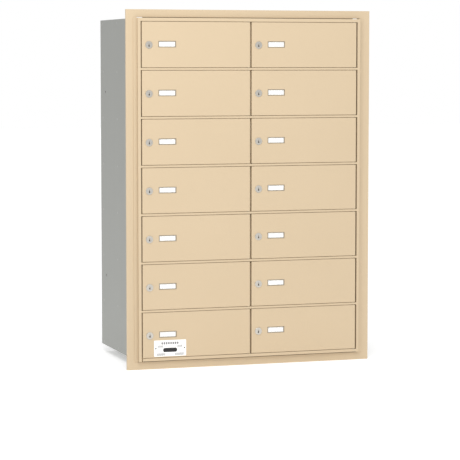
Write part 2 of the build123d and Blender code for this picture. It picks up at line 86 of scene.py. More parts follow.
def add_node(tree, kind, inputs=(), **settings):
    """Adds one node. Each of its inputs, by name or number, takes a value or another node's output."""
    node = tree.nodes.new(kind)
    for name, value in settings.items():
        setattr(node, name, value)
    for socket, value in dict(inputs).items():
        if isinstance(value, bpy.types.NodeSocket):
            tree.links.new(value, node.inputs[socket])
        else:
            node.inputs[socket].default_value = value
    return node


def new_finish(name):
    """An empty material with its surface shader, and the place on the piece that patterns follow."""
    material = bpy.data.materials.new(name)
    material.use_nodes = True
    tree = material.node_tree
    tree.nodes.clear()
    shader = add_node(tree, "ShaderNodeBsdfPrincipled")
    add_node(tree, "ShaderNodeOutputMaterial", {"Surface": shader.outputs[0]})
    place = add_node(tree, "ShaderNodeTexCoord").outputs["Object"]
    return material, tree, shader, place


def set_inputs(shader, values):
    for name, value in values.items():
        shader.inputs[name].default_value = value


def mill_finish_aluminium(name, rolled_along):
    """Aluminium sheet as it leaves the rolls: dull grey under its thin oxide skin, with long faint
    streaks along the rolling direction and wide soft patches where it was handled."""
    material, tree, shader, place = new_finish(name)
    set_inputs(shader, {"Metallic": 0.85})
    fine = 1 / ROLLING_STREAK_WIDTH
    stretched = [1 / ROLLING_STREAK_LENGTH if axis == rolled_along else fine for axis in "XYZ"]
    along = add_node(tree, "ShaderNodeMapping", {"Vector": place, "Scale": stretched})
    streaks = add_node(tree, "ShaderNodeTexNoise", {"Vector": along.outputs[0], "Scale": 1.0, "Detail": 2.0})
    marks = add_node(tree, "ShaderNodeTexNoise", {
        "Vector": place, "Scale": 1 / HANDLING_MARK_SIZE, "Detail": 3.0, "Roughness": 0.55})
    both = add_node(tree, "ShaderNodeMath", {
        0: streaks.outputs[0], 1: marks.outputs[0], 2: 0.25}, operation="MULTIPLY_ADD")
    colour = add_node(tree, "ShaderNodeMix", {
        "Factor": both.outputs[0], 6: linear(WALL_GREY_WORN), 7: linear(WALL_GREY)}, data_type="RGBA")
    tree.links.new(colour.outputs[2], shader.inputs["Base Color"])
    roughness = add_node(tree, "ShaderNodeMapRange", {0: marks.outputs[0], 3: 0.52, 4: 0.66})
    tree.links.new(roughness.outputs[0], shader.inputs["Roughness"])
    bump = add_node(tree, "ShaderNodeBump", {
        "Height": streaks.outputs[0], "Strength": 0.25, "Distance": 0.00005})
    tree.links.new(bump.outputs[0], shader.inputs["Normal"])
    return material


def finish_nodes(names, material):
    for name in names:
        frame["nodes"][name].material_slots[0].material = material


upright_sheet = mill_finish_aluminium("mill_finish_aluminium_rolled_upright", "Z")
finish_nodes(["side_wall_left", "side_wall_right"], upright_sheet)

# Decks, shelves and the partition
# The top and bottom panels, the partition and twelve shelves make the fourteen compartments. They are
# folded from the same mill-finish sheet, with its grain running from front to back.
deck_sheet = mill_finish_aluminium("mill_finish_aluminium_rolled_to_the_back", "Y")
finish_nodes(["top_panel", "bottom_panel", "shelves"], deck_sheet)
finish_nodes(["centre_partition"], upright_sheet)

# Blind rivets
# Domed aluminium pop rivets hold the box, the stiles and the trim together. Each has a dimple where
# its mandrel broke off, and a bulb where the mandrel pulled the tail tight behind the sheets.
RIVET_HEAD_RADIUS = 0.0030
RIVET_HEAD_HEIGHT = 0.0008
RIVET_SHANK_RADIUS = 0.0016
RIVET_TAIL_RADIUS = 0.0022
RIVET_TAIL_LENGTH = 0.0025
RIVET_DIMPLE_DEPTH = 0.0004
FASTENER_GREY = "B4B5B2"


def solids_of(node):
    """The separate solids of a CAD node, each as a list of its points."""
    work = bmesh.new()
    work.from_mesh(frame["nodes"][node].data)
    bmesh.ops.remove_doubles(work, verts=work.verts, dist=1e-6)
    left = set(work.verts)
    solids = []
    while left:
        reached = [left.pop()]
        for vertex in reached:
            near = {edge.other_vert(vertex) for edge in vertex.link_edges} & left
            left -= near
            reached += near
        solids.append([vertex.co.copy() for vertex in reached])
    work.free()
    return solids


def rivet_seats():
    """For each rivet: where its head sits on the sheet, which way it faces, and what it grips."""
    seats = []
    for points in solids_of("rivets"):
        low = min(p.x for p in points)
        high = max(p.x for p in points)
        y = (min(p.y for p in points) + max(p.y for p in points)) / 2
        z = (min(p.z for p in points) + max(p.z for p in points)) / 2
        widest = max(points, key=lambda p: math.hypot(p.y - y, p.z - z))
        outward = -1 if widest.x < (low + high) / 2 else 1
        seat_x = (low if outward < 0 else high) - outward * RIVET_HEAD_HEIGHT
        grip = high - low - RIVET_HEAD_HEIGHT - RIVET_TAIL_LENGTH
        seats.append((Vector((seat_x, y, z)), Vector((outward, 0, 0)), grip))
    return seats


def set_pin_tree():
    """Geometry Nodes tree that sets a domed pin on every point: head, shank and a bulb at its end."""
    tree = bpy.data.node_groups.new("set_pins", "GeometryNodeTree")
    tree.interface.new_socket("Seats", in_out="INPUT", socket_type="NodeSocketGeometry")
    sizes = ["Head Radius", "Head Height", "Shank Radius", "Tail Radius", "Tail Length", "Dimple Depth"]
    for size in sizes:
        tree.interface.new_socket(size, in_out="INPUT", socket_type="NodeSocketFloat")
    tree.interface.new_socket("Metal", in_out="INPUT", socket_type="NodeSocketMaterial")
    tree.interface.new_socket("Pins", in_out="OUTPUT", socket_type="NodeSocketGeometry")
    given = add_node(tree, "NodeGroupInput").outputs
    outward = add_node(
        tree, "GeometryNodeInputNamedAttribute", {"Name": "outward"}, data_type="FLOAT_VECTOR")
    grip = add_node(tree, "GeometryNodeInputNamedAttribute", {"Name": "grip"}, data_type="FLOAT")
    turn = add_node(tree, "FunctionNodeAlignRotationToVector", {"Vector": outward.outputs[0]}, axis="Z")

    def numbers(operation, *values):
        return add_node(tree, "ShaderNodeMath", dict(enumerate(values)), operation=operation).outputs[0]

    def dome(radius, height, dimple):
        """A ball pressed flat on its seat, and dented in the middle of its crown."""
        ball = add_node(tree, "GeometryNodeMeshUVSphere", {"Segments": 20, "Rings": 12, "Radius": 1.0})
        at = add_node(tree, "GeometryNodeInputPosition")
        part = add_node(tree, "ShaderNodeSeparateXYZ", {0: at.outputs[0]})
        crown = numbers("MULTIPLY", numbers("MAXIMUM", part.outputs[2], 0.0), height)
        across = numbers("POWER", numbers("ADD", numbers("MULTIPLY", part.outputs[0], part.outputs[0]),
                                          numbers("MULTIPLY", part.outputs[1], part.outputs[1])), 0.5)
        dent = add_node(tree, "ShaderNodeMapRange", {0: across, 1: 0.12, 2: 0.30, 3: 1.0, 4: 0.0})
        dented = numbers("SUBTRACT", crown, numbers("MULTIPLY", dent.outputs[0], dimple))
        pressed = numbers("MAXIMUM", dented, 0.0)
        place = add_node(tree, "ShaderNodeCombineXYZ", {
            0: numbers("MULTIPLY", part.outputs[0], radius),
            1: numbers("MULTIPLY", part.outputs[1], radius), 2: pressed})
        moved = add_node(tree, "GeometryNodeSetPosition", {
            "Geometry": ball.outputs[0], "Position": place.outputs[0]})
        return moved.outputs[0]

    def on_seats(shape, along, scale=None):
        """The shape on every seat, moved along the pin by a length."""
        shift = add_node(tree, "ShaderNodeVectorMath", {
            0: outward.outputs[0], "Scale": along}, operation="SCALE")
        seats = add_node(tree, "GeometryNodeSetPosition", {
            "Geometry": given["Seats"], "Offset": shift.outputs[0]})
        inputs = {"Points": seats.outputs[0], "Instance": shape, "Rotation": turn.outputs[0]}
        if scale:
            inputs["Scale"] = scale
        return add_node(tree, "GeometryNodeInstanceOnPoints", inputs).outputs[0]

    head = on_seats(dome(given["Head Radius"], given["Head Height"], given["Dimple Depth"]), 0.0)
    rod = add_node(tree, "GeometryNodeMeshCylinder", {
        "Vertices": 16, "Radius": given["Shank Radius"], "Depth": 1.0})
    stretch = add_node(tree, "ShaderNodeCombineXYZ", {0: 1.0, 1: 1.0, 2: grip.outputs[0]})
    shank = on_seats(rod.outputs[0], numbers("MULTIPLY", grip.outputs[0], -0.5), stretch.outputs[0])
    bulb = add_node(tree, "GeometryNodeMeshUVSphere", {"Segments": 16, "Rings": 10, "Radius": 1.0})
    squeezed = add_node(tree, "ShaderNodeCombineXYZ", {
        0: given["Tail Radius"], 1: given["Tail Radius"], 2: numbers("MULTIPLY", given["Tail Length"], 0.5)})
    bulb_size = add_node(tree, "GeometryNodeTransform", {
        "Geometry": bulb.outputs[0], "Scale": squeezed.outputs[0]})
    reach = numbers("ADD", grip.outputs[0], numbers("MULTIPLY", given["Tail Length"], 0.5))
    tail = on_seats(bulb_size.outputs[0], numbers("MULTIPLY", reach, -1.0))
    together = add_node(tree, "GeometryNodeJoinGeometry")
    for part in (tail, shank, head):
        tree.links.new(part, together.inputs[0])
    real = add_node(tree, "GeometryNodeRealizeInstances", {0: together.outputs[0]})
    metal = add_node(tree, "GeometryNodeSetMaterial", {0: real.outputs[0], "Material": given["Metal"]})
    add_node(tree, "NodeGroupOutput", {0: metal.outputs[0]})
    return tree


def shade(mesh, sharp_above=35):
    """Smooth curved stretches, and crisp edges where two faces meet at more than that many degrees."""
    mesh.polygons.foreach_set("use_smooth", [True] * len(mesh.polygons))
    mesh.set_sharp_from_angle(angle=math.radians(sharp_above))


def grown(name, tree, points, attributes, settings):
    """A plain mesh object: what a Geometry Nodes tree makes on a set of points."""
    mesh = bpy.data.meshes.new(name)
    mesh.from_pydata(points, [], [])
    for attribute, (kind, field, values) in attributes.items():
        mesh.attributes.new(attribute, kind, "POINT").data.foreach_set(field, values)
    piece = bpy.data.objects.new(name, mesh)
    bpy.context.scene.collection.objects.link(piece)
    modifier = piece.modifiers.new("grow", "NODES")
    modifier.node_group = tree
    for item in tree.interface.items_tree:
        if item.in_out == "INPUT" and item.name in settings:
            modifier[item.identifier] = settings[item.name]
    evaluated = piece.evaluated_get(bpy.context.evaluated_depsgraph_get())
    made = bpy.data.meshes.new_from_object(evaluated)
    piece.modifiers.clear()
    piece.data = made
    shade(made)
    return piece


def set_pins(name, tree, seats, settings):
    outward = [share for seat in seats for share in seat[1]]
    attributes = {
        "outward": ("FLOAT_VECTOR", "vector", outward),
        "grip": ("FLOAT", "value", [seat[2] for seat in seats])}
    return grown(name, tree, [seat[0] for seat in seats], attributes, settings)


def plain_aluminium():
    """Bare aluminium wire, headed cold: brighter and smoother than the sheet, lightly scuffed."""
    material, tree, shader, place = new_finish("bare_aluminium_fastener")
    set_inputs(shader, {"Metallic": 1.0, "Base Color": linear(FASTENER_GREY)})
    scuffs = add_node(tree, "ShaderNodeTexNoise", {"Vector": place, "Scale": 900.0, "Detail": 2.0})
    roughness = add_node(tree, "ShaderNodeMapRange", {0: scuffs.outputs[0], 3: 0.30, 4: 0.48})
    tree.links.new(roughness.outputs[0], shader.inputs["Roughness"])
    return material


pin_tree = set_pin_tree()
fastener_metal = plain_aluminium()
rivets = set_pins("rivets_domed", pin_tree, rivet_seats(), {
    "Head Radius": RIVET_HEAD_RADIUS, "Head Height": RIVET_HEAD_HEIGHT,
    "Shank Radius": RIVET_SHANK_RADIUS, "Tail Radius": RIVET_TAIL_RADIUS,
    "Tail Length": RIVET_TAIL_LENGTH, "Dimple Depth": RIVET_DIMPLE_DEPTH, "Metal": fastener_metal})
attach(rivets, "cabinet")
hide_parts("rivets")

# Trim
# Four mitred aluminium extrusions cover the edge of the wall opening, with flat keys pressed in behind
# the mitres. They are powder coated in a warm sandstone before the unit is put together.
SANDSTONE = "C5B193"
SANDSTONE_LIGHT = "C9B597"
ORANGE_PEEL_CELL = 0.005
SHADE_PATCH = 0.22


def sandstone_powder_coat():
    """Baked polyester powder: satin, with the soft orange peel that it sets with. Real peel has cells
    of 1 to 2 mm, and it is drawn coarser here so that it shows."""
    material, tree, shader, place = new_finish("sandstone_powder_coat")
    set_inputs(shader, {"IOR": 1.5, "Specular IOR Level": 0.4})
    patches = add_node(tree, "ShaderNodeTexNoise", {
        "Vector": place, "Scale": 1 / SHADE_PATCH, "Detail": 2.0, "Roughness": 0.5})
    colour = add_node(tree, "ShaderNodeMix", {
        "Factor": patches.outputs[0], 6: linear(SANDSTONE), 7: linear(SANDSTONE_LIGHT)}, data_type="RGBA")
    tree.links.new(colour.outputs[2], shader.inputs["Base Color"])
    peel = add_node(tree, "ShaderNodeTexNoise", {
        "Vector": place, "Scale": 1 / ORANGE_PEEL_CELL, "Detail": 1.0, "Roughness": 0.4})
    roughness = add_node(tree, "ShaderNodeMapRange", {0: peel.outputs[0], 3: 0.40, 4: 0.50})
    tree.links.new(roughness.outputs[0], shader.inputs["Roughness"])
    bump = add_node(tree, "ShaderNodeBump", {
        "Height": peel.outputs[0], "Strength": 0.3, "Distance": 0.0001})
    tree.links.new(bump.outputs[0], shader.inputs["Normal"])
    return material


powder_coat = sandstone_powder_coat()
finish_nodes(["trim_bottom", "trim_top", "trim_left", "trim_right"], powder_coat)
finish_nodes(["corner_keys"], fastener_metal)

# Front frame
# Two stepped stiles, a head, a sill and six cross rails make a grid round the doors, with stop strips
# behind the doors' edges and a tube behind the middle gap. All have the same coat as the trim.
finish_nodes(["stile_left", "stile_right", "cross_rails", "centre_mullion"], powder_coat)

# Hinge rods and their washers
# One long stainless rod runs down through the barrels of each column of doors. A white nylon washer
# under every barrel keeps the painted door off the painted rail.
ROD_RADIUS = 0.0012
WASHER_RADIUS = 0.0024
WASHER_FREE_PLAY = 0.0002
DOOR_GAP = 0.0015
ROD_STEEL = "C0BEB9"
NYLON = "ECE9DF"
NYLON_CLOUDED = "E4E0D3"


def drawn_stainless():
    """Stainless rod as drawn through a die: bright, with fine lines along its length."""
    material, tree, shader, place = new_finish("drawn_stainless_steel")
    set_inputs(shader, {"Metallic": 1.0, "Base Color": linear(ROD_STEEL)})
    along = add_node(tree, "ShaderNodeMapping", {"Vector": place, "Scale": [2500, 2500, 12]})
    lines = add_node(tree, "ShaderNodeTexNoise", {"Vector": along.outputs[0], "Scale": 1.0})
    roughness = add_node(tree, "ShaderNodeMapRange", {0: lines.outputs[0], 3: 0.18, 4: 0.36})
    tree.links.new(roughness.outputs[0], shader.inputs["Roughness"])
    return material


def moulded_nylon():
    """Natural nylon, moulded: milky white, half glossy, and a little translucent at its edges."""
    material, tree, shader, place = new_finish("moulded_nylon")
    set_inputs(shader, {
        "IOR": 1.53, "Roughness": 0.35, "Subsurface Weight": 0.2,
        "Subsurface Radius": (0.001, 0.001, 0.001)})
    clouds = add_node(tree, "ShaderNodeTexNoise", {"Vector": place, "Scale": 400.0})
    colour = add_node(tree, "ShaderNodeMix", {
        "Factor": clouds.outputs[0], 6: linear(NYLON), 7: linear(NYLON_CLOUDED)}, data_type="RGBA")
    tree.links.new(colour.outputs[2], shader.inputs["Base Color"])
    return material


def washer_tree():
    """Geometry Nodes tree that lays a flat washer on every point."""
    tree = bpy.data.node_groups.new("washers", "GeometryNodeTree")
    tree.interface.new_socket("Seats", in_out="INPUT", socket_type="NodeSocketGeometry")
    for size in ("Outer Radius", "Bore Radius", "Thickness"):
        tree.interface.new_socket(size, in_out="INPUT", socket_type="NodeSocketFloat")
    tree.interface.new_socket("Plastic", in_out="INPUT", socket_type="NodeSocketMaterial")
    tree.interface.new_socket("Washers", in_out="OUTPUT", socket_type="NodeSocketGeometry")
    given = add_node(tree, "NodeGroupInput").outputs
    rims = add_node(tree, "GeometryNodeJoinGeometry")
    for radius in ("Outer Radius", "Bore Radius"):
        rim = add_node(tree, "GeometryNodeCurvePrimitiveCircle", {"Resolution": 24, "Radius": given[radius]})
        tree.links.new(rim.outputs[0], rims.inputs[0])
    flat = add_node(tree, "GeometryNodeFillCurve", {0: rims.outputs[0]})
    raised = add_node(tree, "GeometryNodeExtrudeMesh", {
        "Mesh": flat.outputs[0], "Offset Scale": given["Thickness"], "Individual": False})
    under = add_node(tree, "GeometryNodeFlipFaces", {0: flat.outputs[0]})
    shell = add_node(tree, "GeometryNodeJoinGeometry")
    for part in (raised.outputs[0], under.outputs[0]):
        tree.links.new(part, shell.inputs[0])
    closed = add_node(tree, "GeometryNodeMergeByDistance", {"Geometry": shell.outputs[0], "Distance": 1e-6})
    laid = add_node(tree, "GeometryNodeInstanceOnPoints", {
        "Points": given["Seats"], "Instance": closed.outputs[0]})
    real = add_node(tree, "GeometryNodeRealizeInstances", {0: laid.outputs[0]})
    plastic = add_node(tree, "GeometryNodeSetMaterial", {0: real.outputs[0], "Material": given["Plastic"]})
    add_node(tree, "NodeGroupOutput", {0: plastic.outputs[0]})
    return tree


doors = sorted(name for name in frame["nodes"] if name.startswith("door_"))
joint_places = {joint["child"]: Vector(joint["pos_m"]) for joint in frame["joints"]}
washer_seats = []
for door in doors:
    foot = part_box(door)[0].z
    washer_seats.append((joint_places[door].x, joint_places[door].y, foot - DOOR_GAP))
washers = grown("hinge_washers", washer_tree(), washer_seats, {}, {
    "Outer Radius": WASHER_RADIUS, "Bore Radius": ROD_RADIUS,
    "Thickness": DOOR_GAP - WASHER_FREE_PLAY, "Plastic": moulded_nylon()})
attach(washers, "cabinet")
finish_nodes(["hinge_rods"], drawn_stainless())

# Doors
# Fourteen thick extruded panels with a rolled front edge, each cut to height with its hinge barrel and
# stiffening rib already on the back, then punched for the window and the lock, and powder coated.
finish_nodes(doors, powder_coat)

# Name-card windows
# Each door has a moulded holder pushed in from behind, with a clear lens, a white card and a backing
# plate that snaps in after the card.
MM = 0.001
WINDOW_WIDTH = 50.8
WINDOW_HEIGHT = 17.5
WINDOW_FROM_DOOR_EDGE = 72.2
WINDOW_RAISE = 1.2
HOLDER_SIDE = 0.2
VISIBLE_WIDTH = 45.6
VISIBLE_HEIGHT = 13.4
LENS_MARGIN = 1.0
FLANGE_MARGIN = 3.4
DOOR_THICKNESS = 3.2
# The holder's taupe is darker than the plastic itself: painted shade for the shadow in the window's recess
# round the card.
HOLDER_TAUPE_AND_PAINTED_SHADE = "8F8371"
LENS_TINT = "FCFDFD"
CARD_WHITE = "FDFDFC"
CARD_FIBRE = "F6F6F4"


def round_corners(centre, width, height, radius, y, steps=6):
    """One loop of points round an upright rectangle with round corners, in the plane y. Sizes in mm."""
    radius = min(radius, width / 2, height / 2)
    points = []
    for corner, (side, end) in enumerate(((1, 1), (-1, 1), (-1, -1), (1, -1))):
        for step in range(steps + 1):
            angle = math.radians(90 * (corner + step / steps))
            across = side * (width / 2 - radius) + radius * math.cos(angle)
            up = end * (height / 2 - radius) + radius * math.sin(angle)
            points.append(Vector((centre[0] + across, y, centre[1] + up)) * MM)
    return points


def loft(work, loops, ring=False, material=0):
    """Joins loops of points with strips of faces. A ring closes on its first loop; a solid is capped."""
    rows = [[work.verts.new(point) for point in loop] for loop in loops]
    pairs = list(zip(rows, rows[1:]))
    if ring:
        pairs.append((rows[-1], rows[0]))
    else:
        work.faces.new(rows[0]).material_index = material
        work.faces.new(rows[-1]).material_index = material
    for one, other in pairs:
        for place, vertex in enumerate(one):
            corners = (one[place - 1], vertex, other[place], other[place - 1])
            work.faces.new(corners).material_index = material


def piece_from(work, name, materials, sharp_above=35):
    """The finished object of a mesh that was built up in the row's own place."""
    bmesh.ops.recalc_face_normals(work, faces=work.faces)
    mesh = bpy.data.meshes.new(name)
    work.to_mesh(mesh)
    work.free()
    for material in materials:
        mesh.materials.append(material)
    shade(mesh, sharp_above)
    piece = bpy.data.objects.new(name, mesh)
    bpy.context.scene.collection.objects.link(piece)
    return piece


def holder_plastic_darkened_as_painted_shade():
    """Injection-moulded ABS with the fine even grain of a spark-eroded mould, in a taupe darkened past its
    own colour as painted shade for the shadow in the window's recess round the card.
    """
    material, tree, shader, place = new_finish("taupe_abs_with_painted_shade")
    set_inputs(shader, {"IOR": 1.54, "Base Color": linear(HOLDER_TAUPE_AND_PAINTED_SHADE)})
    grain = add_node(tree, "ShaderNodeTexNoise", {"Vector": place, "Scale": 2500.0})
    roughness = add_node(tree, "ShaderNodeMapRange", {0: grain.outputs[0], 3: 0.42, 4: 0.58})
    tree.links.new(roughness.outputs[0], shader.inputs["Roughness"])
    bump = add_node(tree, "ShaderNodeBump", {
        "Height": grain.outputs[0], "Strength": 0.2, "Distance": 0.00002})
    tree.links.new(bump.outputs[0], shader.inputs["Normal"])
    return material


def clear_acrylic():
    """Cast acrylic: thin, clear and glossy, with a trace of waviness in its reflections."""
    material, tree, shader, place = new_finish("clear_acrylic")
    set_inputs(shader, {"IOR": 1.49, "Roughness": 0.04, "Alpha": 0.14, "Base Color": linear(LENS_TINT)})
    waves = add_node(tree, "ShaderNodeTexNoise", {"Vector": place, "Scale": 60.0})
    bump = add_node(tree, "ShaderNodeBump", {
        "Height": waves.outputs[0], "Strength": 0.05, "Distance": 0.0001})
    tree.links.new(bump.outputs[0], shader.inputs["Normal"])
    return material


def white_card():
    """Bleached card stock: matt, bright and faintly fibrous."""
    material, tree, shader, place = new_finish("bleached_card")
    set_inputs(shader, {"IOR": 1.5, "Roughness": 0.85})
    fibres = add_node(tree, "ShaderNodeTexNoise", {"Vector": place, "Scale": 1500.0, "Detail": 3.0})
    colour = add_node(tree, "ShaderNodeMix", {
        "Factor": fibres.outputs[0], 6: linear(CARD_WHITE), 7: linear(CARD_FIBRE)}, data_type="RGBA")
    tree.links.new(colour.outputs[2], shader.inputs["Base Color"])
    return material


# The holder and backing plastic carries painted shade: its taupe is darkened to stand in for the recess
# shadow round each card.
holder_plastic_painted_shade = holder_plastic_darkened_as_painted_shade()
acrylic = clear_acrylic()
card = white_card()


def window_centre(door):
    """Middle of a door's window across and up, and the door's front face, in mm."""
    low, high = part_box(door)
    middle = (low.z + high.z) / 2 / MM
    return (low.x / MM + WINDOW_FROM_DOOR_EDGE, middle + WINDOW_RAISE), low.y / MM


def card_holder(door):
    """A nose that fills the opening, a sloped frame round the lens, and a flange behind the door."""
    centre, face = window_centre(door)
    nose = (WINDOW_WIDTH - 2 * HOLDER_SIDE, WINDOW_HEIGHT - 2 * HOLDER_SIDE, 0.8)
    seen = (VISIBLE_WIDTH, VISIBLE_HEIGHT, 0.6)
    seat = (VISIBLE_WIDTH + 2 * LENS_MARGIN, VISIBLE_HEIGHT + 2 * LENS_MARGIN, 0.5)
    flange = (WINDOW_WIDTH + 2 * FLANGE_MARGIN, WINDOW_HEIGHT + 2 * FLANGE_MARGIN, 2.0)
    behind = DOOR_THICKNESS + 0.05
    sections = [
        (nose, 0, behind), (nose, 0, 0.55), (nose, -0.3, 0.25), (seen, 1.0, 0.25), (seen, 0.3, 0.9),
        (seen, 0, 1.3), (seat, 0, 1.3), (seat, 0, 4.6), (flange, -0.5, 4.6), (flange, 0, 4.2),
        (flange, 0, behind)]
    work = bmesh.new()
    loft(work, [
        round_corners(centre, width + grow, height + grow, corner, face + depth)
        for (width, height, corner), grow, depth in sections], ring=True)
    return piece_from(work, door.replace("door", "card_holder"), [holder_plastic_painted_shade])


def flat_in_holder(door, name, margin, sections, material):
    """A flat piece that lies in the holder's seat, through the depths of its sections."""
    centre, face = window_centre(door)
    width = VISIBLE_WIDTH + 2 * margin
    height = VISIBLE_HEIGHT + 2 * margin
    work = bmesh.new()
    loft(work, [
        round_corners(centre, width + grow, height + grow, 0.5, face + depth) for grow, depth in sections])
    return piece_from(work, door.replace("door", name), [material])


for door in doors:
    body = body_of(frame["nodes"][door])[0]
    holder = card_holder(door)
    lens_depths = ((-0.2, 1.32), (0, 1.42), (0, 2.22), (-0.2, 2.32))
    lens = flat_in_holder(door, "card_lens", 0.8, lens_depths, acrylic)
    name_card = flat_in_holder(door, "name_card", 0.7, ((0, 2.36), (0, 2.66)), card)
    backing_depths = ((0, 2.70), (0, 3.9), (-0.6, 4.2))
    backing = flat_in_holder(door, "card_backing", 0.9, backing_depths, holder_plastic_painted_shade)
    for piece in (holder, lens, name_card, backing):
        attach(piece, body)

# Lock cases
# A die-cast zinc case with a round rim, plated in satin nickel and pulled tight by a hexagonal nut
# behind the door.
NICKEL = "C6C2BA"


def satin_nickel():
    """Nickel over cast zinc, satin: a soft warm silver with fine brush marks."""
    material, tree, shader, place = new_finish("satin_nickel_plate")
    set_inputs(shader, {"Metallic": 1.0, "Base Color": linear(NICKEL)})
    brushed = add_node(tree, "ShaderNodeTexNoise", {"Vector": place, "Scale": 1200.0, "Detail": 2.0})
    roughness = add_node(tree, "ShaderNodeMapRange", {0: brushed.outputs[0], 3: 0.24, 4: 0.40})
    tree.links.new(roughness.outputs[0], shader.inputs["Roughness"])
    return material


cases = [name for name in frame["nodes"] if name.startswith(("lock_left", "lock_right"))]
finish_nodes(cases, satin_nickel())

# Lock plugs
# The turning plug of each lock is steel, with a keyway for a flat key and a cam held on its end by a
# screw. Five steel pins with rounded feet hang in the top of the keyway.
PLUG_STEEL = "C4C0B9"
KEY_PINS = 5
KEY_PIN_PITCH = 2.2
KEY_PIN_FIRST = 2.0
KEY_PIN_FOOT = 1.0
KEY_PIN_LENGTH = 2.4
KEY_PIN_RADIUS = 0.85
KEY_PIN_ROUNDING = 0.5


def brushed_steel():
    """Turned and brushed steel plug, zinc plated: slightly darker than the rim round it."""
    material, tree, shader, place = new_finish("brushed_plated_steel")
    set_inputs(shader, {"Metallic": 1.0, "Base Color": linear(PLUG_STEEL)})
    across = add_node(tree, "ShaderNodeMapping", {"Vector": place, "Scale": [2600, 400, 160]})
    lines = add_node(tree, "ShaderNodeTexNoise", {"Vector": across.outputs[0], "Scale": 1.0})
    roughness = add_node(tree, "ShaderNodeMapRange", {0: lines.outputs[0], 3: 0.26, 4: 0.46})
    tree.links.new(roughness.outputs[0], shader.inputs["Roughness"])
    return material


def keyway_pins(plug):
    """The pins of one lock, one behind the other from the mouth of the keyway. Sizes in mm."""
    axis = joint_places[plug]
    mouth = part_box(plug)[0].y
    seats = []
    for number in range(KEY_PINS):
        y = mouth + (KEY_PIN_FIRST + number * KEY_PIN_PITCH) * MM
        foot = Vector((axis.x, y, axis.z + KEY_PIN_FOOT * MM))
        seats.append((foot, Vector((0, 0, -1)), KEY_PIN_LENGTH * MM))
    return set_pins(plug.replace("plug", "pins"), pin_tree, seats, {
        "Head Radius": KEY_PIN_RADIUS * MM, "Head Height": KEY_PIN_ROUNDING * MM,
        "Shank Radius": KEY_PIN_RADIUS * MM, "Tail Radius": 0.8 * MM, "Tail Length": 0.2 * MM,
        "Dimple Depth": 0.0, "Metal": plug_steel})


plug_steel = brushed_steel()
plugs = sorted(name for name in frame["nodes"] if name.startswith("lock_plug"))
finish_nodes(plugs, plug_steel)
for plug in plugs:
    key_pins = keyway_pins(plug)
    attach(key_pins, body_of(frame["nodes"][plug])[0])

# Label plate
# A thin white enamelled plate, printed before it is fixed to the bottom left door with two drive pins.
# The print is generic: a plain bar, dashes and rules.
LABEL_WHITE = "FAFAF8"
INK_BLACK = "17171A"
INK_GREY = "77777C"
BLUED_STEEL = "4A4B50"
PLATE_THICKNESS = 0.6
PLATE_CORNER_RADIUS = 2.0
PIN_INSET = 5.0
PIN_RADIUS = 1.2
PIN_HEAD_RADIUS = 2.0
PIN_HEAD_HEIGHT = 0.6
INK_THICKNESS = 0.03

label_low, label_high = (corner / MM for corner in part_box("label_plate"))
label_body = body_of(frame["nodes"]["label_plate"])[0]
door_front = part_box("door_left_7")[0].y / MM
label_face = door_front - PLATE_THICKNESS
label_centre = ((label_low.x + label_high.x) / 2, (label_low.z + label_high.z) / 2)
label_width = label_high.x - label_low.x
label_height = label_high.z - label_low.z


def enamel(name, hex_colour, roughness):
    """Stoved enamel or ink on sheet: an even colour under a smooth hard gloss."""
    material, tree, shader, place = new_finish(name)
    set_inputs(shader, {"IOR": 1.5, "Base Color": linear(hex_colour)})
    flow = add_node(tree, "ShaderNodeTexNoise", {"Vector": place, "Scale": 300.0})
    gloss = add_node(tree, "ShaderNodeMapRange", {
        0: flow.outputs[0], 3: roughness - 0.05, 4: roughness + 0.05})
    tree.links.new(gloss.outputs[0], shader.inputs["Roughness"])
    return material


def plate_sheet():
    work = bmesh.new()
    sections = ((0, door_front), (0, label_face + 0.15), (-0.25, label_face))
    loft(work, [
        round_corners(label_centre, label_width + grow, label_height + grow, PLATE_CORNER_RADIUS, y)
        for grow, y in sections])
    return piece_from(work, "label_plate_enamelled", [enamel("white_stoved_enamel", LABEL_WHITE, 0.28)])


def printed(work, across, up, width, height, corner, ink):
    """One printed mark, placed from the middle of the plate."""
    centre = (label_centre[0] + across, label_centre[1] + up)
    depths = (label_face, label_face - INK_THICKNESS)
    loft(work, [round_corners(centre, width, height, corner, y, 4) for y in depths], material=ink)


def plate_print():
    """Black bar below the middle, a row of dashes at the top, and grey rules either side and below."""
    black, grey = 0, 1
    work = bmesh.new()
    printed(work, 0.0, -4.9, 40.5, 11.8, 5.0, black)
    for number in range(8):
        printed(work, -22.9 + number * 6.4, 14.0, 4.4, 6.4, 0.8, grey)
    for side in (-1, 1):
        for rule in range(3):
            printed(work, side * 28.0, 7.6 - rule * 2.2, 15.0, 1.1, 0.4, grey)
            printed(work, side * 26.5, -14.4 - rule * 2.4, 26.0, 1.3, 0.4, grey)
    inks = [enamel("black_printing_ink", INK_BLACK, 0.4), enamel("grey_printing_ink", INK_GREY, 0.5)]
    return piece_from(work, "label_print", inks)


def drive_pin_steel():
    """Blued steel drive pins, nearly black, with a half gloss."""
    material, tree, shader, place = new_finish("blued_steel")
    set_inputs(shader, {"Metallic": 1.0, "Base Color": linear(BLUED_STEEL)})
    mottle = add_node(tree, "ShaderNodeTexNoise", {"Vector": place, "Scale": 1500.0})
    roughness = add_node(tree, "ShaderNodeMapRange", {0: mottle.outputs[0], 3: 0.3, 4: 0.5})
    tree.links.new(roughness.outputs[0], shader.inputs["Roughness"])
    return material


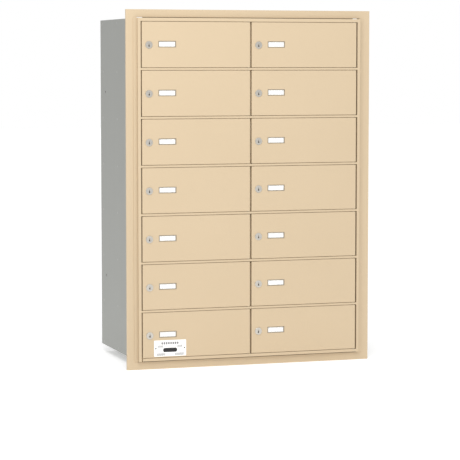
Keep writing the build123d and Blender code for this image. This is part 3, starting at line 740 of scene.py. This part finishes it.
pin_seats = []
for side in (-1, 1):
    pin_x = label_centre[0] + side * (label_width / 2 - PIN_INSET)
    seat = Vector((pin_x, label_face, label_centre[1])) * MM
    pin_seats.append((seat, Vector((0, -1, 0)), DOOR_THICKNESS * MM))
pins = set_pins("label_drive_pins", pin_tree, pin_seats, {
    "Head Radius": PIN_HEAD_RADIUS * MM, "Head Height": PIN_HEAD_HEIGHT * MM,
    "Shank Radius": PIN_RADIUS * MM, "Tail Radius": PIN_RADIUS * MM, "Tail Length": 0.6 * MM,
    "Dimple Depth": 0.0, "Metal": drive_pin_steel()})
plate = plate_sheet()
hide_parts("label_plate")
for piece in (plate, plate_print(), pins):
    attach(piece, label_body)

# Floor, light and camera
# The unit stands on a white floor that glows a little, like a backlit table. A soft light above the
# front fades towards the unit's foot, and the white room is dimmer on the left.
FLOOR_SIZE = 40.0
FLOOR_WHITE = "FAFAFA"
FLOOR_GLOW = 0.30
ROOM_LEFT = 0.62
ROOM_RIGHT = 0.80
SUN_STRENGTH = 0.3
SOFTBOX_POWER = 34.0
SOFTBOX_SIZE = 1.6
SOFTBOX_PLACE = (-0.9, -1.9, 2.3)
SOFTBOX_AIM = (0.0, 0.0, 0.5)
CAMERA_AZIMUTH = -18.1546
CAMERA_ELEVATION = 4.7185
CAMERA_DISTANCE = 5.628
CAMERA_LENS = 158.14
AIM_LEFT_OF_MIDDLE = 0.0616
AIM_HEIGHT = 0.3822


def studio_floor():
    work = bmesh.new()
    half = FLOOR_SIZE / 2
    corners = ((-half, -half), (half, -half), (half, half), (-half, half))
    work.faces.new([work.verts.new((x, y, 0)) for x, y in corners])
    material, tree, shader, place = new_finish("white_studio_vinyl")
    set_inputs(shader, {
        "Base Color": linear(FLOOR_WHITE), "Roughness": 0.9, "Specular IOR Level": 0.1,
        "Emission Color": linear("FFFFFF"), "Emission Strength": FLOOR_GLOW})
    floor = piece_from(work, "studio_floor", [material])


def white_room():
    """Seen directly the room is plain white, while the light that it gives grows from left to right."""
    world = bpy.data.worlds.new("studio")
    world.use_nodes = True
    tree = world.node_tree
    tree.nodes.clear()
    way = add_node(tree, "ShaderNodeTexCoord").outputs["Generated"]
    across = add_node(tree, "ShaderNodeSeparateXYZ", {0: way}).outputs[0]
    light = add_node(tree, "ShaderNodeMapRange", {0: across, 1: -1.0, 2: 0.3, 3: ROOM_LEFT, 4: ROOM_RIGHT})
    path = add_node(tree, "ShaderNodeLightPath")
    strength = add_node(tree, "ShaderNodeMix", {
        "Factor": path.outputs["Is Camera Ray"], 2: light.outputs[0], 3: 1.0}, data_type="FLOAT")
    glow = add_node(tree, "ShaderNodeBackground", {
        "Color": linear("FFFFFF"), "Strength": strength.outputs[0]})
    add_node(tree, "ShaderNodeOutputWorld", {"Surface": glow.outputs[0]})
    return world


def lamp(name, kind, strength):
    light = bpy.data.objects.new(name, bpy.data.lights.new(name, kind))
    light.data.energy = strength
    bpy.context.scene.collection.objects.link(light)
    return light


studio_floor()
bpy.context.scene.world = white_room()
sun = lamp("sun", "SUN", SUN_STRENGTH)
sun.data.angle = math.radians(50)
sun.rotation_euler = (math.radians(48), 0, math.radians(-25))
softbox = lamp("softbox", "AREA", SOFTBOX_POWER)
softbox.data.size = SOFTBOX_SIZE
softbox.location = SOFTBOX_PLACE
softbox.rotation_euler = (Vector(SOFTBOX_AIM) - softbox.location).to_track_quat("-Z", "Y").to_euler()
softbox.visible_camera = False

camera = bpy.data.objects.new("camera", bpy.data.cameras.new("camera"))
camera.data.lens = CAMERA_LENS
camera.data.sensor_width = 36
azimuth = math.radians(CAMERA_AZIMUTH)
elevation = math.radians(CAMERA_ELEVATION)
back = Vector((
    math.sin(azimuth) * math.cos(elevation), -math.cos(azimuth) * math.cos(elevation), math.sin(elevation)))
aim = Vector((-AIM_LEFT_OF_MIDDLE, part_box("cross_rails")[0].y, AIM_HEIGHT))
camera.location = aim + back * CAMERA_DISTANCE
camera.rotation_euler = (-back).to_track_quat("-Z", "Y").to_euler()
bpy.context.scene.collection.objects.link(camera)
bpy.context.scene.camera = camera
bpy.context.scene.view_settings.view_transform = "Standard"
